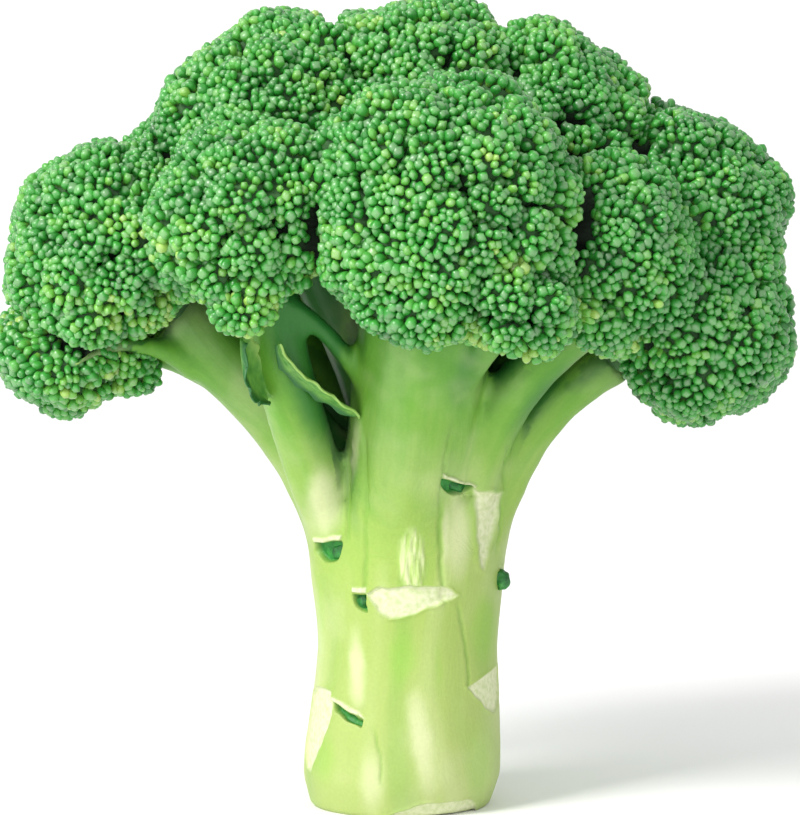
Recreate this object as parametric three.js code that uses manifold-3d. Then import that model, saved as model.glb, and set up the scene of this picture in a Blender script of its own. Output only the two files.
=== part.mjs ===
// A broccoli head standing on the flat cut end of its stalk.
// Millimetres, +Z up. The origin is the centre of the cut end, +X is the head's right and -Y its front.
// The stalk carries branches, each branch ends in a floret, which is a domed mass of closed flower buds,
// and a few small leaves and side shoots sit on the stalk and on the branches.
import * as THREE from "three";
import { mergeVertices } from "three/addons/utils/BufferGeometryUtils.js";
import Module from "manifold-3d";

const wasm = await Module();
wasm.setup();

// Room left between pieces that touch.
const GAP = 0.3;

// The stalk, from the flat cut end up into the middle of the branches.
const BASE_WIDTH = 41.5;
const BULGE_WIDTH = 43;
const WAIST_WIDTH = 38.8;
const FORK_WIDTH = 43;
const STALK_DEPTH_PER_WIDTH = 0.94;
const BULGE_HEIGHT = 9;
const WAIST_HEIGHT = 38;
const FORK_HEIGHT = 55;
const CORE_HEIGHT = 30;
const CORE_WIDTH = 15;
const STALK_LEAN = 1.8;
const CUT_BEVEL = 1.2;

// The crown: its florets sit above the fork of the stalk.
const FRONT_REACH = 44;
const LEFT_REACH = 61;
const RIGHT_REACH = 59.5;
const FRONT_LOWER_OVERHANG = 15;
const LEFT_LOWER_OVERHANG = 5.5;
const RIGHT_LOWER_OVERHANG = 1;
const BRANCH_CLIMB = 0.42;
const BRANCH_APPROACH = 0.44;
const UNDERSIDE_FLATTENING = 0.36;

// Each floret has a bearing round the stalk in degrees (0 is right, 270 is front), a reach out from the axis,
// a rise above the fork and a lean of its axis above level. Its cap has half sizes round the stalk, outwards
// and upwards. Its branch leaves the stalk at a bearing and a height from the fork, tucked in under the
// stalk's surface, and splays outwards as it climbs. It enters the cap at an angle above level, a drop below
// the cap's middle, and thins or swells from its root half thickness to its tip half thickness.
const FLORETS = [
  {
    name: "front",
    place: { bearing: 283, reach: FRONT_REACH, rise: 75, lean: 42 },
    cap: { round: 30, out: 27, up: 30 },
    branch: { from: 262, leaves: -13, tuck: 0.8, splay: 0.06, enters: 50, drop: 0 },
    thickness: { root: 12, tip: 15.5 },
  },
  {
    name: "front_left",
    place: { bearing: 231, reach: 47, rise: 75, lean: 52 },
    cap: { round: 21, out: 22, up: 20 },
    branch: { from: 203, leaves: -4, tuck: 1.6, splay: 0.3, enters: 78, drop: 4 },
    thickness: { root: 6, tip: 6 },
  },
  {
    name: "front_right",
    place: { bearing: 324, reach: 53, rise: 68, lean: 34 },
    cap: { round: 20, out: 19, up: 22 },
    branch: { from: 322, leaves: -10, tuck: 0.8, splay: 0.08, enters: 28, drop: 13 },
    thickness: { root: 7.8, tip: 4.2 },
  },
  {
    name: "front_lower",
    place: { bearing: 293, reach: FRONT_REACH + FRONT_LOWER_OVERHANG, rise: 57, lean: 30 },
    cap: { round: 12, out: 13, up: 10.5 },
    branch: { from: 300, leaves: 10, tuck: 5, splay: 0.2, enters: 30, drop: 0 },
    thickness: { root: 4, tip: 3 },
  },
  {
    name: "left",
    place: { bearing: 185, reach: LEFT_REACH, rise: 65, lean: 38 },
    cap: { round: 32, out: 25, up: 26.5 },
    branch: { from: 184, leaves: -10, tuck: 0.6, splay: 0.1, enters: 40, drop: 2 },
    thickness: { root: 9.2, tip: 7 },
  },
  {
    name: "left_lower",
    place: { bearing: 180, reach: LEFT_REACH + LEFT_LOWER_OVERHANG, rise: 47.5, lean: 30 },
    cap: { round: 25, out: 20.5, up: 15 },
    branch: { from: 170, leaves: 0, tuck: 0.4, splay: 0.3, enters: 8, drop: -2 },
    thickness: { root: 5, tip: 4 },
  },
  {
    name: "right",
    place: { bearing: 4, reach: RIGHT_REACH, rise: 70, lean: 42 },
    cap: { round: 29, out: 24.5, up: 29 },
    branch: { from: 14, leaves: -8, tuck: 0.8, splay: 0.1, enters: 40, drop: 4 },
    thickness: { root: 7.5, tip: 6.5 },
  },
  {
    name: "right_lower",
    place: { bearing: 352, reach: RIGHT_REACH + RIGHT_LOWER_OVERHANG, rise: 52, lean: 32 },
    cap: { round: 27, out: 26, up: 22.5 },
    branch: { from: 352, leaves: -10, tuck: 0.5, splay: 0.14, enters: 16, drop: 3 },
    thickness: { root: 6.4, tip: 4.6 },
  },
  {
    name: "upper_left",
    place: { bearing: 178, reach: 26, rise: 89, lean: 72 },
    cap: { round: 31, out: 27, up: 29 },
    branch: { from: 150, leaves: 12, tuck: 7, splay: 0.1, enters: 72, drop: 0 },
    thickness: { root: 7, tip: 8 },
  },
  {
    name: "upper_right",
    place: { bearing: 5, reach: 31, rise: 85.5, lean: 68 },
    cap: { round: 30, out: 25, up: 30.5 },
    branch: { from: 35, leaves: 12, tuck: 7, splay: 0.1, enters: 68, drop: 0 },
    thickness: { root: 7, tip: 8 },
  },
  {
    name: "top",
    place: { bearing: 40, reach: 5, rise: 94.5, lean: 84 },
    cap: { round: 30, out: 28, up: 28 },
    branch: { from: 90, leaves: 16, tuck: 12, splay: 0, enters: 84, drop: 0 },
    thickness: { root: 7.5, tip: 8.5 },
  },
  {
    name: "back_left",
    place: { bearing: 137, reach: 56, rise: 66, lean: 42 },
    cap: { round: 28, out: 26, up: 28 },
    branch: { from: 137, leaves: -5, tuck: 0.8, splay: 0.08, enters: 42, drop: 0 },
    thickness: { root: 7.4, tip: 7 },
  },
  {
    name: "back_right",
    place: { bearing: 44, reach: 57.5, rise: 66, lean: 42 },
    cap: { round: 28, out: 26, up: 28 },
    branch: { from: 52, leaves: -4, tuck: 0.8, splay: 0.08, enters: 42, drop: 0 },
    thickness: { root: 7.4, tip: 7 },
  },
  {
    name: "back",
    place: { bearing: 90, reach: 48, rise: 72, lean: 48 },
    cap: { round: 30, out: 28, up: 29 },
    branch: { from: 95, leaves: -8, tuck: 0.8, splay: 0.06, enters: 48, drop: 0 },
    thickness: { root: 9, tip: 9 },
  },
];

// The spray: a thin side branch that arches off the front branch, with a tiny floret at its end.
const SPRAY = { along: 0.56, side: 200, stem: 1.9, arch: 15, toward: 225, reach: 33, rise: 18 };
const SPRAY_CAP = { round: 7, out: 6, up: 4.6 };

// Small leaves: each starts on a branch, a share of the way along it, on one side, and leans away from it.
const LEAVES = [
  { name: "left", on: "front_left", along: 0.6, side: 240, length: 20, width: 6.5, spread: 0.14, curl: 0.2 },
  { name: "front", on: "front", along: 0.5, side: 212, length: 30, width: 4.6, spread: 0.72, curl: 0.05 },
];
const LEAF_THICKNESS = 0.9;

// Side shoots: small dark green buds in the leaf axils of the stalk, by bearing and height, and one more
// on a branch. Each is sunk by a share of its thickness.
const SHOOT_SUNK = 0.45;
const SHOOTS = [
  { name: "left", bearing: 219, height: 56, wide: 3.4, tall: 2.4, thick: 1.8 },
  { name: "front", bearing: 238, height: 47, wide: 1.9, tall: 2.2, thick: 1.6 },
  { name: "right", bearing: 344, height: 50.5, wide: 2, tall: 2.2, thick: 2.8 },
  { name: "low", bearing: 237, height: 22.5, wide: 4, tall: 1.6, thick: 1.6 },
];

const BRANCH_SHOOT = { name: "upper", on: "front_right", along: 0.33, side: 268 };
const BRANCH_SHOOT_SIZE = { wide: 3.6, tall: 1.7, thick: 1.6 };

const DEGREE = Math.PI / 180;

const GREENS = {
  stalk: { color: 0xc3db76, roughness: 0.5 },
  branch: { color: 0x9fca5f, roughness: 0.52 },
  floret: { color: 0x559a55, roughness: 0.62 },
  leaf: { color: 0x6ea24c, roughness: 0.5 },
  shoot: { color: 0x2f8744, roughness: 0.5 },
};

function solidOf(geometry) {
  const bare = geometry.clone();
  bare.deleteAttribute("normal");
  bare.deleteAttribute("uv");
  const merged = mergeVertices(bare, 1e-4);
  return new wasm.Manifold(
    new wasm.Mesh({
      numProp: 3,
      vertProperties: merged.attributes.position.array,
      triVerts: new Uint32Array(merged.index.array),
    }),
  );
}

function geometryOf(solid) {
  const mesh = solid.getMesh();
  const geometry = new THREE.BufferGeometry();
  geometry.setAttribute("position", new THREE.BufferAttribute(mesh.vertProperties, 3));
  geometry.setIndex(new THREE.BufferAttribute(mesh.triVerts, 1));
  geometry.computeVertexNormals();
  return geometry;
}

function piece(name, solid, look) {
  const mesh = new THREE.Mesh(geometryOf(solid), new THREE.MeshStandardMaterial(look));
  mesh.name = name;
  return mesh;
}

// A unit vector at a bearing round the stalk and an elevation above level.
function towards(bearing, elevation) {
  const level = Math.cos(elevation * DEGREE);
  const up = Math.sin(elevation * DEGREE);
  return new THREE.Vector3(Math.cos(bearing * DEGREE) * level, Math.sin(bearing * DEGREE) * level, up);
}

// The stalk's half width at a height, and how far its middle stands to the right there.
const STALK_PROFILE = new THREE.SplineCurve([
  new THREE.Vector2(0, BASE_WIDTH / 2),
  new THREE.Vector2(BULGE_HEIGHT, BULGE_WIDTH / 2),
  new THREE.Vector2(WAIST_HEIGHT, WAIST_WIDTH / 2),
  new THREE.Vector2(FORK_HEIGHT, FORK_WIDTH / 2),
  new THREE.Vector2(FORK_HEIGHT + CORE_HEIGHT, CORE_WIDTH / 2),
]);

function stalkHalfWidth(height) {
  let low = 0;
  let high = 1;
  for (let halving = 0; halving < 24; halving += 1) {
    const middle = (low + high) / 2;
    if (STALK_PROFILE.getPoint(middle).x < height) low = middle;
    else high = middle;
  }
  return STALK_PROFILE.getPoint(low).y;
}

function stalkMiddle(height) {
  return STALK_LEAN * Math.sin(Math.min(1, height / FORK_HEIGHT) * Math.PI * 0.6);
}

function stalkSolid(extra) {
  const sides = 28;
  const steps = 12;
  const full = FORK_HEIGHT + CORE_HEIGHT;
  const body = new THREE.CylinderGeometry(1, 1, 1, sides, steps).rotateX(Math.PI / 2);
  const spots = body.attributes.position;
  for (let i = 0; i < spots.count; i += 1) {
    const height = (spots.getZ(i) + 0.5) * full;
    const bevel = height < 1e-6 ? CUT_BEVEL : 0;
    const half = stalkHalfWidth(height) - bevel + extra;
    spots.setXYZ(
      i,
      stalkMiddle(height) + spots.getX(i) * half,
      spots.getY(i) * (half - extra) * STALK_DEPTH_PER_WIDTH + spots.getY(i) * extra,
      height + (spots.getZ(i) > 0.49 ? extra : 0),
    );
  }
  return solidOf(body);
}

// A taper swept along a curve: round, or a blade with its own half thickness across the curve's bend.
function bentTaper(curve, halfWidthAt, halfThicknessAt, sides, steps) {
  const tube = new THREE.CylinderGeometry(1, 1, 1, sides, steps);
  const spots = tube.attributes.position;
  const frames = curve.computeFrenetFrames(steps);
  for (let i = 0; i < spots.count; i += 1) {
    const along = THREE.MathUtils.clamp(spots.getY(i) + 0.5, 0, 1);
    const station = Math.round(along * steps);
    const spot = curve
      .getPointAt(along)
      .addScaledVector(frames.binormals[station], spots.getX(i) * halfWidthAt(along))
      .addScaledVector(frames.normals[station], spots.getZ(i) * halfThicknessAt(along));
    spots.setXYZ(i, spot.x, spot.y, spot.z);
  }
  return solidOf(tube);
}

// A dome of buds: an ellipsoid turned to its bearing, flattened on the side that faces its branch.
function capSolid({ middle, bearing, lean }, half, sides, extra) {
  const axis = towards(0, lean);
  const cap = new THREE.SphereGeometry(1, sides, Math.round(sides * 0.6)).rotateX(Math.PI / 2);
  const spots = cap.attributes.position;
  const spot = new THREE.Vector3();
  for (let i = 0; i < spots.count; i += 1) {
    spot.fromBufferAttribute(spots, i);
    const below = Math.min(0, spot.dot(axis));
    spot.addScaledVector(axis, -below * UNDERSIDE_FLATTENING);
    spots.setXYZ(i, spot.x * (half.out + extra), spot.y * (half.round + extra), spot.z * (half.up + extra));
  }
  cap.rotateZ(bearing * DEGREE);
  cap.translate(middle.x, middle.y, middle.z);
  return solidOf(cap);
}

// Where a floret's cap stands and how it is turned.
function capPose({ place }) {
  const out = towards(place.bearing, 0).multiplyScalar(place.reach);
  const middle = new THREE.Vector3(out.x, out.y, FORK_HEIGHT + place.rise);
  return { middle, bearing: place.bearing, lean: place.lean };
}

// A point on or under the stalk's surface at a bearing and a height.
function stalkPoint(bearing, height, depth) {
  const out = towards(bearing, 0);
  const half = stalkHalfWidth(height);
  const x = stalkMiddle(height) + out.x * (half - depth);
  return new THREE.Vector3(x, out.y * (half * STALK_DEPTH_PER_WIDTH - depth), height);
}

// A branch rises beside the stalk's core, then bends out to the underside of its floret.
function branchCurve(floret) {
  const { branch, place, thickness } = floret;
  const end = capPose(floret).middle;
  end.z -= branch.drop;
  const start = stalkPoint(branch.from, FORK_HEIGHT + branch.leaves, thickness.root + branch.tuck);
  const length = end.distanceTo(start);
  const splay = towards(branch.from, 0).multiplyScalar(branch.splay).add(new THREE.Vector3(0, 0, 1));
  const rise = start.clone().addScaledVector(splay, length * BRANCH_CLIMB);
  const inwards = towards(place.bearing, branch.enters).multiplyScalar(-length * BRANCH_APPROACH);
  const approach = end.clone().add(inwards);
  return new THREE.CubicBezierCurve3(start, rise, approach, end);
}

function branchSolid(floret, extra) {
  const { root, tip } = floret.thickness;
  const half = (along) => THREE.MathUtils.lerp(root, tip, along) + extra;
  return bentTaper(branchCurve(floret), half, half, 12, 8);
}

// A point on one side of a branch, with the branch's direction and that side's direction there.
function branchSide(name, along, side) {
  const floret = FLORETS.find((each) => each.name === name);
  const curve = branchCurve(floret);
  const forward = curve.getTangentAt(along);
  const out = towards(side, 0);
  out.addScaledVector(forward, -out.dot(forward)).normalize();
  const half = THREE.MathUtils.lerp(floret.thickness.root, floret.thickness.tip, along);
  return { spot: curve.getPointAt(along).addScaledVector(out, half), forward, out };
}

// A small leaf: a thin pointed blade that grows from the side of a branch and curls over at its tip.
function leafSolid(leaf) {
  const { spot, forward, out } = branchSide(leaf.on, leaf.along, leaf.side);
  const reach = (ahead, aside) =>
    spot.clone().addScaledVector(forward, leaf.length * ahead).addScaledVector(out, leaf.length * aside);
  const curve = new THREE.QuadraticBezierCurve3(
    spot,
    reach(0.55, leaf.spread + leaf.curl),
    reach(1 - leaf.spread * 0.4, leaf.spread),
  );
  const half = (along) => leaf.width * (0.16 + 0.34 * Math.sin(Math.PI * (0.12 + 0.84 * along)));
  return bentTaper(curve, half, () => LEAF_THICKNESS / 2, 10, 8);
}

function sprayCurve() {
  const { spot, out } = branchSide("front", SPRAY.along, SPRAY.side);
  const start = spot.clone().addScaledVector(out, -SPRAY.stem);
  const end = spot.clone().addScaledVector(towards(SPRAY.toward, 0), SPRAY.reach);
  end.z += SPRAY.rise;
  const rise = start.clone().addScaledVector(towards(SPRAY.toward, 55), SPRAY.arch);
  const over = end.clone().addScaledVector(towards(SPRAY.toward, -45), -SPRAY.arch * 0.7);
  return new THREE.CubicBezierCurve3(start, rise, over, end);
}

function sprayCap(extra) {
  const middle = sprayCurve().getPoint(1);
  return capSolid({ middle, bearing: SPRAY.toward, lean: 30 }, SPRAY_CAP, 14, extra);
}

// Cuts the earlier, slightly larger neighbours out of a piece.
function clearOf(solid, neighbours) {
  return neighbours.reduce((left, neighbour) => left.subtract(neighbour), solid);
}

function shootSolid(shoot, middle, bearing, extra) {
  const bud = new THREE.SphereGeometry(1, 10, 7);
  bud.scale(shoot.thick + extra, shoot.wide + extra, shoot.tall + extra);
  bud.rotateZ(bearing * DEGREE);
  bud.translate(middle.x, middle.y, middle.z);
  return solidOf(bud);
}

// Every side shoot's name with a function that makes its solid, larger all round by an extra.
function sideShoots() {
  const onStalk = SHOOTS.map((shoot) => {
    const middle = stalkPoint(shoot.bearing, shoot.height, shoot.thick * SHOOT_SUNK);
    return { name: shoot.name, make: (extra) => shootSolid(shoot, middle, shoot.bearing, extra) };
  });
  const { on, along, side, name } = BRANCH_SHOOT;
  const { spot, out } = branchSide(on, along, side);
  const middle = spot.addScaledVector(out, -BRANCH_SHOOT_SIZE.thick * SHOOT_SUNK);
  return [...onStalk, { name, make: (extra) => shootSolid(BRANCH_SHOOT_SIZE, middle, side, extra) }];
}

function build() {
  const broccoli = new THREE.Group();
  broccoli.name = "broccoli_head";

  const shoots = sideShoots();
  const shootRoom = shoots.map((shoot) => shoot.make(GAP));
  broccoli.add(piece("stalk", clearOf(stalkSolid(0), shootRoom), GREENS.stalk));
  for (const shoot of shoots) {
    broccoli.add(piece(`side_shoot_${shoot.name}`, shoot.make(0), GREENS.shoot));
  }

  const floretRoom = [];
  for (const floret of FLORETS) {
    const cap = (extra) => capSolid(capPose(floret), floret.cap, 16, extra);
    broccoli.add(piece(`floret_${floret.name}`, clearOf(cap(0), floretRoom), GREENS.floret));
    floretRoom.push(cap(GAP));
  }
  broccoli.add(piece("floret_spray", clearOf(sprayCap(0), floretRoom), GREENS.floret));
  floretRoom.push(sprayCap(GAP));

  const taken = [stalkSolid(GAP), ...shootRoom];
  for (const floret of FLORETS) {
    const free = clearOf(branchSolid(floret, 0), [...taken, ...floretRoom]);
    broccoli.add(piece(`branch_${floret.name}`, free, GREENS.branch));
    taken.push(branchSolid(floret, GAP));
  }
  const spray = (extra) => {
    const half = () => SPRAY.stem + extra;
    return bentTaper(sprayCurve(), half, half, 10, 10);
  };
  broccoli.add(piece("branch_spray", clearOf(spray(0), [...taken, ...floretRoom]), GREENS.branch));
  taken.push(spray(GAP));

  for (const leaf of LEAVES) {
    const free = clearOf(leafSolid(leaf), [...taken, ...floretRoom]);
    broccoli.add(piece(`leaf_${leaf.name}`, free, GREENS.leaf));
  }
  return broccoli;
}

export default build();
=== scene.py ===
"""A broccoli head on its cut stalk: thousands of closed buds over domed florets, on fleshy ribbed stems."""

import math

import bmesh
import bpy
import numpy as np
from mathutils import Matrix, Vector
from mathutils.bvhtree import BVHTree
from mathutils.kdtree import KDTree


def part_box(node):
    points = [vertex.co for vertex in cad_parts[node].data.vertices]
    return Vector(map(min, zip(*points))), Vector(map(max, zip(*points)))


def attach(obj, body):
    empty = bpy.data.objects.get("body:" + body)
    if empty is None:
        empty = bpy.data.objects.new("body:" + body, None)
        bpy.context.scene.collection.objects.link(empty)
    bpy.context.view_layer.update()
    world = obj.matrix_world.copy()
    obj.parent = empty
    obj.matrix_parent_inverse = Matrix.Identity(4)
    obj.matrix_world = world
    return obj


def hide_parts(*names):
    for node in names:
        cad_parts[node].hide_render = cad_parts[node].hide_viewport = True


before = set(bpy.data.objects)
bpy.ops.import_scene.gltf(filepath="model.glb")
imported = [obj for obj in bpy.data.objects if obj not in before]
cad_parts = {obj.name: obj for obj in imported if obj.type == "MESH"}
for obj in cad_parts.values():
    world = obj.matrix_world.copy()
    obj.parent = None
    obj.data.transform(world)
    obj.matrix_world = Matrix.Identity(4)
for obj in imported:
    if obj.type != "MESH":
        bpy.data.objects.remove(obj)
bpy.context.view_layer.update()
MM = 0.001

# Camera and stage, in metres.
VIEW_DISTANCE = 0.9
VIEW_ELEVATION = math.radians(5)
VIEW_AIM = Vector((0, 0, 0.088))
VIEW_WIDTH = 0.176
SENSOR_WIDTH = 36
SWEEP_HALF_WIDTH = 3.0
SWEEP_FRONT = -1.6
SWEEP_BACK = 1.6
SWEEP_HEIGHT = 3.0
SWEEP_BEND = 0.6
SWEEP_STEPS = 12
LIGHT_AIM = Vector((0, 0, 0.11))

# Buds and the clusters they stand in, in metres.
BUD_WIDTH = 2.1 * MM
BUD_LENGTH = 2.7 * MM
BUD_SUNK = 1.65 * MM
BUD_SPACING = 1.44 * MM
CLUSTER_SPACING = 12 * MM
CLUSTER_SWELL = 3.0 * MM
CREVICE_DEPTH = 5.0 * MM
LOBE_SPACING = 25 * MM
LOBE_SWELL = 3.2 * MM
KNOT_SPACING = 4.6 * MM
KNOT_SWELL = 0.55 * MM
SEAM_DEPTH = 5 * MM
SEAM_WIDTH = 4.5 * MM
GAP_DEPTH = 4.0 * MM
CORE_DEPTH = 1.4 * MM
RIND = 1.2 * MM
BARE_UNDERSIDE = 0.78

# How plump, how blunt, how deeply lobed and how bent each build of bud is.
BUD_BUILDS = (
    (1.0, 2.0, 0.14, 0.0),
    (0.92, 1.6, 0.2, 0.08),
    (1.08, 2.4, 0.12, -0.06),
    (0.97, 1.9, 0.24, 0.05),
    (1.04, 2.8, 0.18, 0.1),
    (0.9, 1.8, 0.1, -0.12),
)
BUD_SIDES = 8

# The crown that the florets make together, in metres.
CROWN_GROWTH = 0.45 * MM
CROWN_VOXEL = 1.2 * MM
VALLEY_FILL = 7 * MM
CAP_REACH = 0.03
SPRAY = "floret_spray"
SPRAY_VOXEL = 0.5 * MM
TUFT_OFFSET = np.array((-9.2, -6.2, 8.2)) * MM
TUFT_HALF = np.array((9.0, 8.0, 5.0)) * MM

# Stem skin, in metres.
SKIN_VOXEL = 1.05 * MM
SKIN_GROWTH = 0.4 * MM
SHELTER_REACH = 18 * MM
SHELTER_WAYS = 14
SOFTENING_PASSES = 60
GRAIN_WIDTH = 16 * MM
LEAF_ROWS = 26

FLORETS = [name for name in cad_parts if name.startswith("floret_")]
BRANCHES = [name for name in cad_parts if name.startswith("branch_")]


# ---- small helpers

def unit(vectors):
    """Vectors scaled to length one."""
    return vectors / np.maximum(np.linalg.norm(vectors, axis=-1, keepdims=True), 1e-12)


def smoothstep(low, high, value):
    """A smooth rise from 0 at low to 1 at high."""
    share = np.clip((value - low) / (high - low), 0, 1)
    return share * share * (3 - 2 * share)


def cad_arrays(node):
    """A CAD node's points and triangles."""
    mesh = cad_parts[node].data
    points = np.empty(len(mesh.vertices) * 3)
    mesh.vertices.foreach_get("co", points)
    mesh.calc_loop_triangles()
    triangles = np.empty(len(mesh.loop_triangles) * 3, dtype=np.int32)
    mesh.loop_triangles.foreach_get("vertices", triangles)
    return points.reshape(-1, 3), triangles.reshape(-1, 3)


def solid_centre(points, triangles):
    """The centre of volume of a closed mesh."""
    a, b, c = (points[triangles[:, k]] for k in range(3))
    volume = np.einsum("ij,ij->i", a, np.cross(b, c))
    return ((a + b + c) * volume[:, None]).sum(0) / (4 * volume.sum())


def mesh_object(name, points, faces):
    """A new smooth-shaded object of triangles or of quads."""
    mesh = bpy.data.meshes.new(name)
    side = faces.shape[1]
    mesh.vertices.add(len(points))
    mesh.vertices.foreach_set("co", np.asarray(points, dtype=np.float32).ravel())
    mesh.loops.add(faces.size)
    mesh.loops.foreach_set("vertex_index", faces.astype(np.int32).ravel())
    mesh.polygons.add(len(faces))
    mesh.polygons.foreach_set("loop_start", np.arange(0, faces.size, side, dtype=np.int32))
    mesh.polygons.foreach_set("use_smooth", np.full(len(faces), True))
    mesh.update(calc_edges=True)
    made = bpy.data.objects.new(name, mesh)
    bpy.context.scene.collection.objects.link(made)
    return made


def joined(solids):
    """Closed meshes, each a pair of points and faces, put together as one pair."""
    points, faces, start = [], [], 0
    for own_points, own_faces in solids:
        points.append(own_points)
        faces.append(own_faces + start)
        start += len(own_points)
    return np.concatenate(points), np.concatenate(faces)


def unit_ball(subdivisions):
    """A ball of radius one, as points and triangles."""
    shell = bmesh.new()
    bmesh.ops.create_icosphere(shell, subdivisions=subdivisions, radius=1)
    points = np.array([vertex.co[:] for vertex in shell.verts])
    faces = np.array([[vertex.index for vertex in face.verts] for face in shell.faces])
    shell.free()
    return points, faces


def tree_of(points, faces):
    """A search tree of faces."""
    return BVHTree.FromPolygons(points.tolist(), faces.tolist())


def add_attribute(obj, name, values):
    """A value for each point of a mesh: a float or a vector."""
    kind = "FLOAT_VECTOR" if values.ndim == 2 else "FLOAT"
    field = "vector" if values.ndim == 2 else "value"
    layer = obj.data.attributes.new(name, kind, "POINT")
    layer.data.foreach_set(field, np.asarray(values, dtype=np.float32).ravel())


def kd_of(points):
    """A search tree of points."""
    tree = KDTree(len(points))
    for index, point in enumerate(points):
        tree.insert(point, index)
    tree.balance()
    return tree


def spread_directions(count):
    """Directions spread evenly over a sphere."""
    steps = np.arange(count) + 0.5
    polar = np.arccos(1 - 2 * steps / count)
    turn = math.pi * (1 + math.sqrt(5)) * steps
    return np.stack(
        [np.cos(turn) * np.sin(polar), np.sin(turn) * np.sin(polar), np.cos(polar)], axis=1
    )


# ---- shader building

class Nodes:
    """Adds and links nodes in a material's or a group's tree."""

    def __init__(self, tree):
        self.tree = tree

    def add(self, kind, inputs=None, **settings):
        node = self.tree.nodes.new(kind)
        for key, value in settings.items():
            setattr(node, key, value)
        for key, value in (inputs or {}).items():
            self.feed(node.inputs[key], value)
        return node

    def feed(self, socket, value):
        if isinstance(value, bpy.types.NodeSocket):
            self.tree.links.new(value, socket)
        else:
            socket.default_value = value

    def math(self, operation, first, second=0.0, clamp=False):
        node = self.add("ShaderNodeMath", {0: first, 1: second}, operation=operation, use_clamp=clamp)
        return node.outputs[0]

    def mix(self, factor, first, second, blend="MIX"):
        node = self.add("ShaderNodeMix", data_type="RGBA", blend_type=blend)
        self.feed(node.inputs["Factor"], factor)
        self.feed(node.inputs[6], first)
        self.feed(node.inputs[7], second)
        return node.outputs[2]

    def tint(self, base, mask, low, high, amount, colour):
        """A base mixed towards a colour, by up to the amount, as the mask goes from low to high."""
        return self.mix(self.math("MULTIPLY", self.rise(mask, low, high), amount), base, (*colour, 1))

    def ramp(self, value, stops):
        node = self.add("ShaderNodeValToRGB", {"Fac": value})
        elements = node.color_ramp.elements
        while len(elements) < len(stops):
            elements.new(0.5)
        for element, (place, colour) in zip(elements, stops):
            element.position = place
            element.color = (*colour, 1)
        return node.outputs["Color"]

    def rise(self, value, low, high):
        node = self.add("ShaderNodeMapRange", {"Value": value, "From Min": low, "From Max": high})
        node.interpolation_type = "SMOOTHSTEP"
        return node.outputs["Result"]

    def attribute(self, name, output="Fac"):
        return self.add("ShaderNodeAttribute", attribute_name=name).outputs[output]

    def noise(self, vector, scale, detail=3.0, roughness=0.5):
        inputs = {"Vector": vector, "Scale": scale, "Detail": detail, "Roughness": roughness}
        return self.add("ShaderNodeTexNoise", inputs).outputs["Fac"]


def linear(red, green, blue):
    """A display colour, 0 to 255, as scene-linear."""
    shares = [channel / 255 for channel in (red, green, blue)]
    return tuple(s / 12.92 if s <= 0.04045 else ((s + 0.055) / 1.055) ** 2.4 for s in shares)


def new_group(name, inputs, outputs):
    """A shader node group with named sockets: {name: (socket type, default)}."""
    tree = bpy.data.node_groups.new(name, "ShaderNodeTree")
    for key, (kind, default) in inputs.items():
        socket = tree.interface.new_socket(name=key, in_out="INPUT", socket_type=kind)
        if default is not None:
            socket.default_value = default
    for key, kind in outputs.items():
        tree.interface.new_socket(name=key, in_out="OUTPUT", socket_type=kind)
    nodes = Nodes(tree)
    return tree, nodes, nodes.add("NodeGroupInput").outputs, nodes.add("NodeGroupOutput").inputs


def new_material(name):
    """An empty material with a Principled shader on its output."""
    material = bpy.data.materials.new(name)
    material.use_nodes = True
    material.node_tree.nodes.clear()
    nodes = Nodes(material.node_tree)
    shader = nodes.add("ShaderNodeBsdfPrincipled")
    output = nodes.add("ShaderNodeOutputMaterial")
    nodes.feed(output.inputs["Surface"], shader.outputs["BSDF"])
    return material, nodes, shader


def put_group(nodes, tree, **values):
    """A group placed in a material, with its values; an underscore in a key stands for a space."""
    node = nodes.add("ShaderNodeGroup", node_tree=tree)
    for key, value in values.items():
        nodes.feed(node.inputs[key.replace("_", " ")], value)
    return node.outputs


COLOUR = "NodeSocketColor"
FLOAT = "NodeSocketFloat"
VECTOR = "NodeSocketVector"


def surface_grain_group():
    """Fine grain of a surface, as a height."""
    tree, nodes, given, out = new_group(
        "surface_grain",
        {
            "Vector": (VECTOR, None),
            "Scale": (FLOAT, 500.0),
            "Detail": (FLOAT, 4.0),
        },
        {"Height": FLOAT},
    )
    nodes.feed(out["Height"], nodes.noise(given["Vector"], given["Scale"], given["Detail"]))
    return tree


SURFACE_GRAIN = surface_grain_group()


def grained(nodes, shader, scale, detail, strength, distance=0.0003):
    """Places the surface grain in a material, bumps its shader with it, and gives the grain's height."""
    vector = nodes.add("ShaderNodeTexCoord").outputs["Object"]
    grain = put_group(nodes, SURFACE_GRAIN, Vector=vector, Scale=scale, Detail=detail)["Height"]
    bump = nodes.add("ShaderNodeBump", {"Strength": strength, "Distance": distance, "Height": grain})
    nodes.feed(shader.inputs["Normal"], bump.outputs["Normal"])
    return grain


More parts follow.
